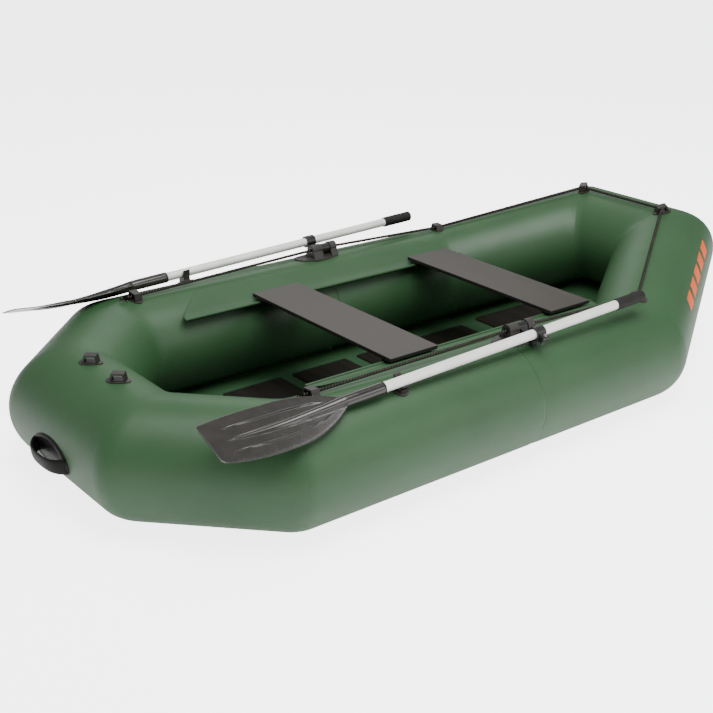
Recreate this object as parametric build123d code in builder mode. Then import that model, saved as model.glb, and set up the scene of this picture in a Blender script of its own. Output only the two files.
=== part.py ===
from build123d import *
from math import atan2, cos, degrees, pi, radians, sin, sqrt
import os

# Inflatable rowing boat: a closed ring of air tube with a raised bow, a fabric floor with plywood slats,
# two sliding plank seats, a lifeline and two oars lying in their clips. Millimetres.
# The origin is on the ground under the middle of the boat: +X to the bow, +Y to port, +Z up.

os.makedirs("parts", exist_ok=True)

SIDES = (("port", 1), ("starboard", -1))

# Air tube
TUBE_R = 177.5
SKIN = 1.2
HALF_LENGTH = 1300.0
STERN_X = TUBE_R - HALF_LENGTH
BOW_X = HALF_LENGTH - TUBE_R
AFT_CORNER_X = -839.5
FORE_CORNER_X = 604.5
SEAM_X = -20.0
SIDE_Y = 494.0
STERN_Y = 212.0
BOW_Y = 190.0
BOW_RISE = 157.0

# Floor
FLOOR_Z = 12.0
SHEET_THICK = 2.0
MAT_THICK = 2.0
SLAT_THICK = 8.0
SLAT_LENGTH = 235.0
SLAT_GAP = 54.0
SLAT_HALF_WIDTH = 298.0
FIRST_SLAT_X = -830.0
MAT_HALF_WIDTH = 345.0

# Seats and the welts that they slide on
SEAT_TOP_Z = 330.5
SEAT_THICK = 12.0
SEAT_LENGTH = 720.0
SEAT_WIDTH = 191.0
SEATS = (("aft", -281.5), ("fore", 415.0))
WELT_Y = 323.0
WELT_Z = 306.0
WELT_R = 5.0
WELT_START_X = -662.0
WELT_END_X = 560.0
TRACK_BORE_R = 5.4
TRACK_SIZE = 20.0
TRACK_LENGTH = 180.0

# Oars: the shaft's axis passes through the pivot, low at the blade and high at the grip
OAR_R = 15.0
OAR_WALL = 1.5
PIVOT_X = 20.0
PIVOT_Y = 570.0
PIVOT_Z = 390.0
OAR_RISE = 2.03
OAR_LEAN = 23.0
SOCKET_END = -606.0
BLADE_TIP = -1166.0
GRIP_START = 358.0
GRIP_END = 488.0

# Rowlock
BARREL_Y = 492.0
BARREL_Z = 383.0
BARREL_R = 11.0
BARREL_BORE_R = 6.0
RUNNING = 0.05
PIN_R = 8.0

ROPE_R = 5.0


def hull_ring():
    """The tube's centreline corners and side seams, from the starboard bow round the stern to the port bow."""
    half = [
        Vector(BOW_X, BOW_Y, TUBE_R + BOW_RISE),
        Vector(FORE_CORNER_X, SIDE_Y, TUBE_R),
        Vector(SEAM_X, SIDE_Y, TUBE_R),
        Vector(AFT_CORNER_X, SIDE_Y, TUBE_R),
        Vector(STERN_X, STERN_Y, TUBE_R),
    ]
    starboard = [Vector(p.X, -p.Y, p.Z) for p in half]
    return starboard + half[::-1]


PANEL_NAMES = (
    "bow_quarter_panel_starboard",
    "fore_side_panel_starboard",
    "aft_side_panel_starboard",
    "stern_quarter_panel_starboard",
    "stern_centre_panel",
    "stern_quarter_panel_port",
    "aft_side_panel_port",
    "fore_side_panel_port",
    "bow_quarter_panel_port",
    "bow_centre_panel",
)


def tube_panel(index, outer, inner=0.0):
    """One straight length of the ring, trimmed to the mitre planes that it shares with its neighbours."""
    ring = hull_ring()
    before, start, end, after = (ring[(index + k) % len(ring)] for k in (-1, 0, 1, 2))
    axis = (end - start).normalized()
    start_mitre = Plane(start, z_dir=axis + (start - before).normalized())
    end_mitre = Plane(end, z_dir=axis + (after - end).normalized())
    with BuildPart() as panel:
        with BuildSketch(Plane(start - axis * outer, z_dir=axis)):
            Circle(outer)
            if inner:
                Circle(inner, mode=Mode.SUBTRACT)
        extrude(amount=(end - start).length + 2 * outer)
        split(bisect_by=start_mitre, keep=Keep.TOP)
        split(bisect_by=end_mitre, keep=Keep.BOTTOM)
    return panel.part


def hull_core(extra=0.0):
    """The whole ring as one solid, fatter than the tube by extra: what lies on the skin is cut with it."""
    with BuildPart() as core:
        for index in range(len(PANEL_NAMES)):
            add(tube_panel(index, TUBE_R + extra))
    return core.part


BASE_THICK = 3.0
PAD_THICK = 4.0
CORE = hull_core()
BASE_LAYER = hull_core(BASE_THICK)
PAD_LAYER = hull_core(PAD_THICK)


def save(part, name):
    """Labels one finished node and writes it."""
    part.label = name
    export_step(part, f"parts/{name}.step")


def moulded_base(plane, length, width, layer):
    """An oval base that lies on the tube and follows its curve, long axis along the plane's x."""
    with BuildPart() as base:
        with BuildSketch(plane.offset(-TUBE_R / 3)):
            Ellipse(length / 2, width / 2)
        extrude(amount=TUBE_R / 2)
        add(layer, mode=Mode.INTERSECT)
        add(CORE, mode=Mode.SUBTRACT)
    return base.part


# Hull panels -----------------------------------------------------------------------------------------

VALVES = (("aft", -715.0), ("fore", 500.0))
VALVE_TILT = 15.0
VALVE_THROAT_R = 20.0


def valve_plane(x):
    """On the inner face of the starboard tube, z pointing inboard and a little up, x to the bow."""
    out = Vector(0, cos(radians(VALVE_TILT)), sin(radians(VALVE_TILT)))
    return Plane(Vector(x, -SIDE_Y, TUBE_R) + out * TUBE_R, x_dir=(1, 0, 0), z_dir=out)


def hull_panels():
    """Ten welded fabric panels; the two that carry a valve have a hole for its throat."""
    valve_panels = {"aft_side_panel_starboard": VALVES[0][1], "fore_side_panel_starboard": VALVES[1][1]}
    for index, name in enumerate(PANEL_NAMES):
        with BuildPart() as panel:
            add(tube_panel(index, TUBE_R, TUBE_R - SKIN))
            if name in valve_panels:
                with Locations(valve_plane(valve_panels[name])):
                    Cylinder(VALVE_THROAT_R, TUBE_R / 2, mode=Mode.SUBTRACT)
        save(panel.part, name)


def chamber_bulkheads():
    """The two fabric discs inside the side tubes that part the aft air chamber from the fore one."""
    with BuildPart() as discs:
        with BuildSketch(Plane.YZ.offset(SEAM_X - SKIN / 2)):
            with Locations((SIDE_Y, TUBE_R), (-SIDE_Y, TUBE_R)):
                Circle(TUBE_R - SKIN)
        extrude(amount=SKIN)
    save(discs.part, "chamber_bulkheads")


# Floor -----------------------------------------------------------------------------------------------

FLOOR_SLOPE = BOW_RISE / (BOW_X - FORE_CORNER_X)


def floor_layer(low, high, outline):
    """A layer of the floor, low to high above FLOOR_Z: flat, then rising to the bow, inside an outline."""
    end_rise = (BOW_X - FORE_CORNER_X) * FLOOR_SLOPE
    with BuildPart() as layer:
        with BuildSketch(Plane.XZ.offset(-SIDE_Y)):
            with BuildLine():
                Polyline(
                    (STERN_X, FLOOR_Z + low),
                    (FORE_CORNER_X, FLOOR_Z + low),
                    (BOW_X, FLOOR_Z + low + end_rise),
                    (BOW_X, FLOOR_Z + high + end_rise),
                    (FORE_CORNER_X, FLOOR_Z + high),
                    (STERN_X, FLOOR_Z + high),
                    close=True,
                )
            make_face()
        extrude(amount=2 * SIDE_Y)
        with BuildSketch(Plane.XY) as plan:
            with BuildLine():
                Polyline(*outline, close=True)
            make_face()
        extrude(to_extrude=plan.sketch, amount=TUBE_R * 2, mode=Mode.INTERSECT)
    return layer.part


def tapered_outline(start, end, half_width, taper_x):
    """A strip about the centreline that narrows with the bow quarters beyond taper_x."""
    slope = (SIDE_Y - BOW_Y) / (BOW_X - FORE_CORNER_X)
    tip = half_width - slope * max(0.0, end - taper_x)
    shoulder = max(start, min(taper_x, end))
    right = [(start, -half_width), (shoulder, -half_width), (end, -tip)]
    if shoulder in (start, end):
        right.pop(1)
    return right + [(x, -y) for x, y in right[::-1]]


def floor_sheet():
    """The fabric floor, welded to the underside of the tubes all round."""
    outline = [(STERN_X, -SIDE_Y), (BOW_X, -SIDE_Y), (BOW_X, SIDE_Y), (STERN_X, SIDE_Y)]
    with BuildPart() as sheet:
        add(floor_layer(0, SHEET_THICK, outline))
        add(CORE, mode=Mode.SUBTRACT)
    save(sheet.part.solids().sort_by(SortBy.VOLUME)[-1], "floor_sheet")


MAT_TAPER_X = 650.0
MAT_END_X = 885.0


def floor_mat_and_slats():
    """The roll-up floor mat and the plywood slats on it; the foremost slat is cut to the bow's taper."""
    mat_low = SHEET_THICK
    mat_high = mat_low + MAT_THICK
    bow_end = tapered_outline(FIRST_SLAT_X - 15, MAT_END_X, MAT_HALF_WIDTH - 20, MAT_TAPER_X - 70)[2]
    plan = [
        (FIRST_SLAT_X - 15, -200),
        (-700, -MAT_HALF_WIDTH),
        (560, -MAT_HALF_WIDTH),
        (MAT_END_X, -abs(bow_end[1])),
    ]
    plan += [(x, -y) for x, y in plan[::-1]]
    save(floor_layer(mat_low, mat_high, plan), "floor_mat")
    for number in range(6):
        start = FIRST_SLAT_X + number * (SLAT_LENGTH + SLAT_GAP)
        end = start + SLAT_LENGTH
        if start > FORE_CORNER_X:
            start, end = MAT_TAPER_X - 12, MAT_END_X - 20
        plan = tapered_outline(start, end, SLAT_HALF_WIDTH, MAT_TAPER_X)
        if number == 0:
            plan = [(start, -215), (start + 85, -SLAT_HALF_WIDTH), (end, -SLAT_HALF_WIDTH)]
            plan += [(x, -y) for x, y in plan[::-1]]
        save(floor_layer(mat_high, mat_high + SLAT_THICK, plan), f"floor_slat_{number + 1}")


# Seats -----------------------------------------------------------------------------------------------


def seat_rail(name, side):
    """A welt in the hem of a fabric flap: the flap runs out to the tube and is bonded on its upper face."""
    flap = 1.6
    knee_y, knee_z = WELT_Y + 42.0, WELT_Z + 8.0
    # the flap's lower face meets the tube at the tangent point seen from the knee
    from_axis = Vector(knee_y - SIDE_Y, knee_z - TUBE_R)
    tangent = degrees(atan2(from_axis.Y, from_axis.X)) - degrees(
        atan2(sqrt(from_axis.length**2 - TUBE_R**2), TUBE_R)
    )
    glued = tangent - 10.0

    def on_tube(angle, lift):
        return (
            SIDE_Y + (TUBE_R + lift) * cos(radians(angle)),
            TUBE_R + (TUBE_R + lift) * sin(radians(angle)),
        )

    with BuildPart() as rail:
        with BuildSketch(Plane.YZ.offset(WELT_START_X)) as profile:
            with BuildLine():
                lower = Polyline(
                    (WELT_Y, WELT_Z - flap / 2),
                    (WELT_Y + 14, WELT_Z - flap / 2),
                    (knee_y, knee_z),
                    on_tube(tangent, 0),
                )
                bond = CenterArc((SIDE_Y, TUBE_R), TUBE_R, tangent, glued - tangent)
                Line(bond @ 1, on_tube(glued, flap))
                top = CenterArc((SIDE_Y, TUBE_R), TUBE_R + flap, glued, tangent - glued)
                Polyline(
                    top @ 1,
                    (knee_y, knee_z + flap),
                    (WELT_Y + 14, WELT_Z + flap / 2),
                    (WELT_Y, WELT_Z + flap / 2),
                    lower @ 0,
                )
            make_face()
            with Locations((WELT_Y, WELT_Z)):
                Circle(WELT_R)
        extrude(amount=WELT_END_X - WELT_START_X)
    part = rail.part
    if side < 0:
        part = part.mirror(Plane.XZ)
    save(part, name)


FLANGE_WIDTH = 50.0
FLANGE_THICK = 3.0
SCREW_Y = 305.0
SCREW_R = 2.5
SCREW_XS = (-70.0, 0.0, 70.0)
SCREW_DEPTH = 9.0


def seat(name, x):
    """One plank seat: the board, its two slotted tracks underneath and the screws that hold them."""
    board_z = SEAT_TOP_Z - SEAT_THICK
    screw_places = [(x + dx, side * SCREW_Y) for dx in SCREW_XS for _, side in SIDES]
    with BuildPart() as board:
        with BuildSketch(Plane.XY.offset(board_z)):
            with Locations((x, 0)):
                RectangleRounded(SEAT_WIDTH, SEAT_LENGTH, 5)
        extrude(amount=SEAT_THICK)
        fillet(board.faces().filter_by(Axis.Z).edges(), 2.0)
        with BuildSketch(Plane.XY.offset(board_z)):
            with Locations(*screw_places):
                Circle(SCREW_R)
        extrude(amount=SCREW_DEPTH, mode=Mode.SUBTRACT)
    save(board.part, f"seat_board_{name}")

    with BuildPart() as tracks:
        with BuildSketch(Plane.YZ.offset(x - TRACK_LENGTH / 2)):
            for _, side in SIDES:
                with Locations((side * WELT_Y, WELT_Z)):
                    Rectangle(TRACK_SIZE, TRACK_SIZE)
                with Locations((side * (WELT_Y + 5), board_z - FLANGE_THICK / 2)):
                    Rectangle(FLANGE_WIDTH, FLANGE_THICK)
                with Locations((side * WELT_Y, (WELT_Z + board_z) / 2)):
                    Rectangle(TRACK_SIZE, board_z - WELT_Z)
                with Locations((side * WELT_Y, WELT_Z)):
                    Circle(TRACK_BORE_R, mode=Mode.SUBTRACT)
                with Locations((side * (WELT_Y + TRACK_SIZE / 2), WELT_Z)):
                    Rectangle(TRACK_SIZE, 3.2, mode=Mode.SUBTRACT)
        extrude(amount=TRACK_LENGTH)
        with BuildSketch(Plane.XY.offset(board_z - FLANGE_THICK)):
            with Locations(*screw_places):
                Circle(SCREW_R)
        extrude(amount=FLANGE_THICK, mode=Mode.SUBTRACT)
    save(tracks.part, f"seat_tracks_{name}")

    with BuildPart() as screws:
        with BuildSketch(Plane.XY.offset(board_z - FLANGE_THICK - 2.5)):
            with Locations(*screw_places):
                Circle(4.5)
        extrude(amount=2.5)
        with BuildSketch(Plane.XY.offset(board_z - FLANGE_THICK)):
            with Locations(*screw_places):
                Circle(SCREW_R)
        extrude(amount=FLANGE_THICK + SCREW_DEPTH)
    save(screws.part, f"seat_screws_{name}")


# Rope holders and the lifeline ------------------------------------------------------------------------

HOLDER_LENGTH = 70.0
HOLDER_WIDTH = 46.0
BRIDGE_WIDTH = 46.0
BRIDGE_TOP_WIDTH = 36.0
BRIDGE_HEIGHT = 25.0
BRIDGE_DEPTH = 26.0
SLOT_WIDTH = 36.0
SLOT_LOW = 4.5
SLOT_HIGH = 19.5
ROPE_LIFT = 11.0

# name, panel that it sits on, x, y, direction of the rope in plan in degrees from +X, for the port one
HOLDERS = (
    ("stern", "stern_centre_panel", -1121.0, 80.0, 48.0),
    ("aft", "aft_side_panel_port", -757.0, 476.0, 1.4),
    ("fore", "fore_side_panel_port", 590.0, 494.0, -10.0),
    ("bow", "bow_quarter_panel_port", 1085.0, 189.0, -61.0),
)


def surface_point(panel, x, y):
    """The point of a panel's upper surface above (x, y), and the outward normal there."""
    ring = hull_ring()
    index = PANEL_NAMES.index(panel)
    start, end = ring[index], ring[(index + 1) % len(ring)]
    axis = (end - start).normalized()
    beside = Vector(x, y, 0) - start
    beside = beside - axis * beside.dot(axis)
    climb = Vector(0, 0, 1) - axis * axis.Z
    slant = climb.dot(climb)
    lean = climb.dot(beside)
    z = (sqrt(lean**2 - slant * (beside.dot(beside) - TUBE_R**2)) - lean) / slant
    return Vector(x, y, z), (beside + climb * z).normalized()


def holder_plane(panel, x, y, turn):
    """A holder's own frame on the tube: x along the rope, z out of the tube."""
    top, out = surface_point(panel, x, y)
    rope = Vector(cos(radians(turn)), sin(radians(turn)), 0)
    return Plane(top, x_dir=rope - out * rope.dot(out), z_dir=out)


def rope_holder(panel, x, y, turn):
    """An oval base with a low bridge that the rope passes under."""
    plane = holder_plane(panel, x, y, turn)
    across = Plane(plane.origin, x_dir=plane.y_dir, z_dir=plane.x_dir)
    with BuildPart() as holder:
        add(moulded_base(Plane(plane.origin, x_dir=plane.y_dir, z_dir=plane.z_dir),
                         HOLDER_LENGTH, HOLDER_WIDTH, BASE_LAYER))
        with BuildSketch(across.offset(-BRIDGE_DEPTH / 2)) as profile:
            with BuildLine():
                Polyline(
                    (-BRIDGE_WIDTH / 2, -8),
                    (BRIDGE_WIDTH / 2, -8),
                    (BRIDGE_WIDTH / 2, SLOT_LOW),
                    (BRIDGE_TOP_WIDTH / 2, BRIDGE_HEIGHT),
                    (-BRIDGE_TOP_WIDTH / 2, BRIDGE_HEIGHT),
                    (-BRIDGE_WIDTH / 2, SLOT_LOW),
                    close=True,
                )
            make_face()
            fillet(profile.vertices().group_by(Axis(across.origin, across.y_dir))[-1], 5)
            with BuildLine():
                Polyline(
                    (-SLOT_WIDTH / 2, SLOT_LOW),
                    (SLOT_WIDTH / 2, SLOT_LOW),
                    (SLOT_WIDTH / 2 - 5, SLOT_HIGH),
                    (5 - SLOT_WIDTH / 2, SLOT_HIGH),
                    close=True,
                )
            make_face(mode=Mode.SUBTRACT)
        extrude(amount=BRIDGE_DEPTH)
        add(CORE, mode=Mode.SUBTRACT)
    return holder.part


def rope_holders():
    """Eight moulded holders in four pairs; the stern pair is spare, for an anchor line or a painter."""
    for name, panel, x, y, turn in HOLDERS:
        with BuildPart() as pair:
            add(rope_holder(panel, x, y, turn))
            if name == "stern":
                add(rope_holder(panel, x, -y, turn))
            else:
                mirror(about=Plane.XZ)
        save(pair.part, f"rope_holders_{name}")


def holder_rope_point(index):
    """Where the rope's axis crosses the middle of a port holder."""
    plane = holder_plane(*HOLDERS[index][1:])
    return plane.origin + plane.z_dir * ROPE_LIFT


KNOT_R = 9.5
KNOT_FROM_EYE = 34.0


def lifeline():
    """The rope from the port aft holder round the bow to the starboard one, with a stopper knot at each end."""
    aft, fore, bow = (holder_rope_point(index) for index in (1, 2, 3))
    knot = Vector(aft.X - KNOT_FROM_EYE, aft.Y - 0.5, aft.Z + 0.5)
    points = [
        Vector(knot.X - 20.0, knot.Y + 5.0, knot.Z - 1.5),
        knot,
        aft,
        Vector(BARREL_START_X - 6, BARREL_Y, BARREL_Z),
        Vector(BARREL_END_X + 6, BARREL_Y, BARREL_Z),
        fore,
        bow,
        Vector(bow.X, 0, bow.Z),
    ]
    radii = [25.0, 60.0, 600.0, 600.0, 60.0, 40.0]
    with BuildPart() as rope:
        with BuildLine() as path:
            FilletPolyline(*points, radius=radii)
        route = path.wire()
        with BuildSketch(Plane(route @ 0, z_dir=route % 0)):
            Circle(ROPE_R)
        sweep(path=route)
        swept = rope.part.volume
        with Locations(knot):
            Sphere(KNOT_R)
        mirror(about=Plane.XZ)
    print("lifeline: half length", round(route.length), "corner radii", radii)
    print("lifeline: volume over section times length", round(swept / (pi * ROPE_R**2 * route.length), 4))
    save(rope.part, "lifeline")


# Rowlocks --------------------------------------------------------------------------------------------

PAD_LENGTH = 190.0
PAD_WIDTH = 92.0
PAD_X = 3.0
PAD_Y = 500.0
BARREL_START_X = -32.0
BARREL_END_X = 76.0
AFT_BOSS = (-32.0, 8.0, 19.0)
FORE_EAR = (46.0, 74.0, 20.0)
SLEEVE_R = 17.0
AXIAL_GAP = 0.5


def rowlock_base(name, side):
    """The oval pad with its aft boss and fore ear, moulded in one, and bored for the barrel."""
    pad_plane = Plane((PAD_X, side * PAD_Y, 2 * TUBE_R), x_dir=(1, 0, 0), z_dir=(0, 0, 1))
    with BuildPart() as base:
        add(moulded_base(pad_plane, PAD_LENGTH, PAD_WIDTH, PAD_LAYER))
        for start, end, radius in (AFT_BOSS, FORE_EAR):
            with BuildSketch(Plane.YZ.offset(start)):
                with Locations((side * BARREL_Y, BARREL_Z)):
                    Circle(radius)
                with BuildLine():
                    Polyline(
                        (side * BARREL_Y - radius, BARREL_Z - 2),
                        (side * BARREL_Y + radius, BARREL_Z - 2),
                        (side * BARREL_Y + 30, 2 * TUBE_R),
                        (side * BARREL_Y + 30, 2 * TUBE_R - 12),
                        (side * BARREL_Y - 30, 2 * TUBE_R - 12),
                        (side * BARREL_Y - 30, 2 * TUBE_R),
                        close=True,
                    )
                make_face()
            extrude(amount=end - start)
        with BuildSketch(Plane.YZ.offset(AFT_BOSS[1])):
            with Locations((side * BARREL_Y, 2 * TUBE_R - 1)):
                Rectangle(44, 14)
        extrude(amount=FORE_EAR[0] - AFT_BOSS[1])
        with BuildSketch(Plane.YZ.offset(BARREL_START_X)):
            with Locations((side * BARREL_Y, BARREL_Z)):
                Circle(BARREL_R)
        extrude(amount=BARREL_END_X - BARREL_START_X, mode=Mode.SUBTRACT)
        add(CORE, mode=Mode.SUBTRACT)
    save(base.part, f"rowlock_base_{name}")


def rowlock_barrel(name, side):
    """The hollow barrel held in the base: the swivel turns on it and the lifeline runs through it."""
    with BuildPart() as barrel:
        with BuildSketch(Plane.YZ.offset(BARREL_START_X)):
            with Locations((side * BARREL_Y, BARREL_Z)):
                Circle(BARREL_R)
                Circle(BARREL_BORE_R, mode=Mode.SUBTRACT)
        extrude(amount=BARREL_END_X - BARREL_START_X)
    save(barrel.part, f"rowlock_barrel_{name}")


def oar_plane(side, x=0.0):
    """The oar's frame at a place along its shaft: x along the shaft to the grip, z along the swing pin."""
    shaft = Vector(cos(radians(OAR_RISE)), 0, sin(radians(OAR_RISE)))
    lean = Vector(0, side * sin(radians(OAR_LEAN)), cos(radians(OAR_LEAN)))
    pivot = Vector(PIVOT_X, side * PIVOT_Y, PIVOT_Z)
    return Plane(pivot + shaft * x, x_dir=shaft, z_dir=lean - shaft * lean.dot(shaft))


BOSS_TOP = -23.0
BOSS_BOTTOM = -42.0
BOSS_R = 13.5
COLLAR_R = 21.0
COLLAR_HALF = 18.0
LUG_OUT = 38.0
LUG_HALF_HEIGHT = 12.0
LUG_SPLIT = 3.0
BOLT_OUT = 29.5
BOLT_R = 3.0


def rowlock_swivel(name, side):
    """The sleeve on the barrel, with an arm out to the socket that the oar's pin turns in."""
    plane = oar_plane(side)
    start, end = AFT_BOSS[1] + AXIAL_GAP, FORE_EAR[0] - AXIAL_GAP
    arm_z = (BOSS_TOP + BOSS_BOTTOM) / 2
    with BuildPart() as swivel:
        with BuildSketch(Plane.YZ.offset(start)):
            with Locations((side * BARREL_Y, BARREL_Z)):
                Circle(SLEEVE_R)
        extrude(amount=end - start)
        with BuildSketch(plane.offset(BOSS_BOTTOM)):
            Circle(BOSS_R)
        extrude(amount=BOSS_TOP - BOSS_BOTTOM)
        with BuildSketch(plane.offset(arm_z - 7)):
            with Locations((1, -side * 34)):
                Rectangle(24, 68)
        extrude(amount=14)
        with BuildSketch(Plane.YZ.offset(start)):
            with Locations((side * BARREL_Y, BARREL_Z)):
                Circle(BARREL_R + RUNNING)
        extrude(amount=end - start, mode=Mode.SUBTRACT)
        with BuildSketch(plane.offset(BOSS_BOTTOM)):
            Circle(PIN_R + RUNNING)
        extrude(amount=BOSS_TOP - BOSS_BOTTOM, mode=Mode.SUBTRACT)
    save(swivel.part, f"rowlock_swivel_{name}")


def oar_collar(name, side):
    """The split clamp round the shaft, with its pin below and the bolt lug on its outboard side."""
    plane = oar_plane(side)
    section = Plane(plane.origin, x_dir=plane.y_dir, z_dir=plane.x_dir)
    with BuildPart() as collar:
        with BuildSketch(section.offset(-COLLAR_HALF)):
            Circle(COLLAR_R)
        extrude(amount=2 * COLLAR_HALF)
        with BuildSketch(plane.offset(-LUG_HALF_HEIGHT)):
            with Locations((0, side * (OAR_R + LUG_OUT) / 2)):
                RectangleRounded(24, LUG_OUT - OAR_R, 6)
        extrude(amount=2 * LUG_HALF_HEIGHT)
        with BuildSketch(section.offset(-COLLAR_HALF)):
            Circle(OAR_R)
        extrude(amount=2 * COLLAR_HALF, mode=Mode.SUBTRACT)
        with BuildSketch(plane.offset(-LUG_SPLIT / 2)):
            with Locations((0, side * (LUG_OUT / 2 + 5))):
                Rectangle(2 * COLLAR_HALF, LUG_OUT)
        extrude(amount=LUG_SPLIT, mode=Mode.SUBTRACT)
        with BuildSketch(plane.offset(-LUG_HALF_HEIGHT)):
            with Locations((0, side * BOLT_OUT)):
                Circle(BOLT_R)
        extrude(amount=2 * LUG_HALF_HEIGHT, mode=Mode.SUBTRACT)
        with BuildSketch(plane.offset(BOSS_TOP + 0.3)):
            Circle(PIN_R + 3)
        extrude(amount=-(BOSS_TOP + 0.3) - OAR_R - 2)
        with BuildSketch(plane.offset(BOSS_BOTTOM - 0.3)):
            Circle(PIN_R)
        extrude(amount=BOSS_TOP - BOSS_BOTTOM + 0.8)
        with BuildSketch(plane.offset(BOSS_BOTTOM - 2.3)):
            Circle(PIN_R + 2.5)
        extrude(amount=2.0)
    save(collar.part, f"oar_collar_{name}")

    with BuildPart() as bolt:
        with BuildSketch(plane.offset(LUG_HALF_HEIGHT)):
            with Locations((0, side * BOLT_OUT)):
                Circle(5.5)
        extrude(amount=4.0)
        with BuildSketch(plane.offset(-LUG_HALF_HEIGHT - 6)):
            with Locations((0, side * BOLT_OUT)):
                Circle(BOLT_R)
        extrude(amount=2 * LUG_HALF_HEIGHT + 6)
        with BuildSketch(plane.offset(-LUG_HALF_HEIGHT - 5)):
            with Locations((0, side * BOLT_OUT)):
                RegularPolygon(5.8, 6)
        extrude(amount=5.0)
    save(bolt.part, f"collar_bolt_{name}")


# Oars ------------------------------------------------------------------------------------------------

SOCKET_R = 18.0
SOCKET_DEPTH = 80.0
BLADE_THICK = 4.0
BLADE_SAG = 13.0
SHOULDER = -740.0


def oar_shaft(name, side):
    """The aluminium tube, from inside the blade's socket to inside the grip."""
    plane = oar_plane(side, SOCKET_END - SOCKET_DEPTH)
    with BuildPart() as shaft:
        with BuildSketch(Plane(plane.origin, x_dir=plane.y_dir, z_dir=plane.x_dir)):
            Circle(OAR_R)
            Circle(OAR_R - OAR_WALL, mode=Mode.SUBTRACT)
        extrude(amount=GRIP_END - 6 - SOCKET_END + SOCKET_DEPTH)
    save(shaft.part, f"oar_shaft_{name}")


def oar_grip(name, side):
    """The grip, a sleeve closed at its end."""
    plane = oar_plane(side)
    with BuildPart() as grip:
        with BuildSketch(Plane(plane.origin, x_dir=plane.x_dir, z_dir=plane.y_dir)):
            with BuildLine():
                Polyline(
                    (GRIP_END - 6, 0),
                    (GRIP_END - 6, OAR_R),
                    (GRIP_START, OAR_R),
                    (GRIP_START, 17.5),
                    (GRIP_START + 6, 18.5),
                    (GRIP_END - 3, 18.5),
                    (GRIP_END, 15.5),
                    (GRIP_END, 0),
                    close=True,
                )
            make_face()
        revolve(axis=Axis(plane.origin, plane.x_dir))
    save(grip.part, f"oar_grip_{name}")


def oar_blade(name, side):
    """A hollowed blade of even thickness, with the tapering socket that runs down its middle."""
    plane = oar_plane(side)
    lengthwise = Plane(plane.origin, x_dir=plane.x_dir, z_dir=plane.y_dir)
    heel, middle, tip = SHOULDER, (SHOULDER + BLADE_TIP) / 2, BLADE_TIP
    tip_rise = 18.0
    mid_rise = tip_rise / 2 - BLADE_SAG
    down = -1 if lengthwise.y_dir.dot(plane.z_dir) < 0 else 1
    with BuildPart() as blade:
        with BuildSketch(lengthwise.offset(-100)):
            with BuildLine():
                low = ThreePointArc(
                    (heel, down * -BLADE_THICK / 2),
                    (middle, down * (mid_rise - BLADE_THICK / 2)),
                    (tip, down * (tip_rise - BLADE_THICK / 2)),
                )
                high = ThreePointArc(
                    (tip, down * (tip_rise + BLADE_THICK / 2)),
                    (middle, down * (mid_rise + BLADE_THICK / 2)),
                    (heel, down * BLADE_THICK / 2),
                )
                Line(low @ 1, high @ 0)
                Line(high @ 1, low @ 0)
            make_face()
        extrude(amount=200)
        with BuildSketch(plane.offset(-60)) as outline:
            with BuildLine():
                for hand in (1, -1):
                    shoulder = ThreePointArc(
                        (SHOULDER + 8, hand * 12),
                        (SHOULDER - 90, hand * 63),
                        (SHOULDER - 215, hand * 82),
                    )
                    edge = ThreePointArc(
                        shoulder @ 1,
                        (BLADE_TIP + 100, hand * 80),
                        (BLADE_TIP, hand * 66),
                    )
                Line((BLADE_TIP, 66), (BLADE_TIP, -66))
                Line((SHOULDER + 8, 12), (SHOULDER + 8, -12))
            make_face()
            fillet(outline.vertices().group_by(Axis(plane.origin, plane.x_dir))[0], 14)
        extrude(amount=120, mode=Mode.INTERSECT)
        with BuildSketch(lengthwise):
            with BuildLine():
                Polyline(
                    (SOCKET_END, 0),
                    (SOCKET_END, SOCKET_R),
                    (SOCKET_END - 110, SOCKET_R),
                    (SHOULDER - 60, 13),
                    (SHOULDER - 260, 4),
                    (SHOULDER - 260, 0),
                    close=True,
                )
            make_face()
        revolve(axis=Axis(plane.origin, plane.x_dir))
        socket = Plane(plane.origin, x_dir=plane.y_dir, z_dir=plane.x_dir)
        with BuildSketch(socket.offset(SOCKET_END - SOCKET_DEPTH)):
            Circle(OAR_R)
        extrude(amount=SOCKET_DEPTH, mode=Mode.SUBTRACT)
    save(blade.part, f"oar_blade_{name}")


# Oar clips -------------------------------------------------------------------------------------------

CLIP_ALONG = -537.0
CLIP_CLEAR = 0.4
CLIP_DEPTH = 24.0
ARM_THICK = 5.0


def clip_plane(side):
    """The clip's frame at the shaft's axis: x along the shaft, z straight out of the tube."""
    at = oar_plane(side, CLIP_ALONG)
    out = Vector(0, at.origin.Y - side * SIDE_Y, at.origin.Z - TUBE_R).normalized()
    return Plane(at.origin, x_dir=at.x_dir, z_dir=out - at.x_dir * out.dot(at.x_dir))


def clip_finger(side, base=None):
    """The springy outboard finger of a clip."""
    plane = clip_plane(side)
    section = Plane(plane.origin - plane.x_dir * CLIP_DEPTH / 2, x_dir=plane.y_dir * side, z_dir=plane.x_dir * side)
    inner = OAR_R + CLIP_CLEAR
    outer = inner + ARM_THICK
    with BuildPart() as finger:
        with BuildSketch(section):
            with BuildLine():
                inside = CenterArc((0, 0), inner, -64, 46)
                outside = CenterArc((0, 0), outer, -64, 46)
                Line(inside @ 0, outside @ 0)
                Line(inside @ 1, outside @ 1)
            make_face()
        extrude(amount=side * CLIP_DEPTH)
    return finger.part


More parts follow.
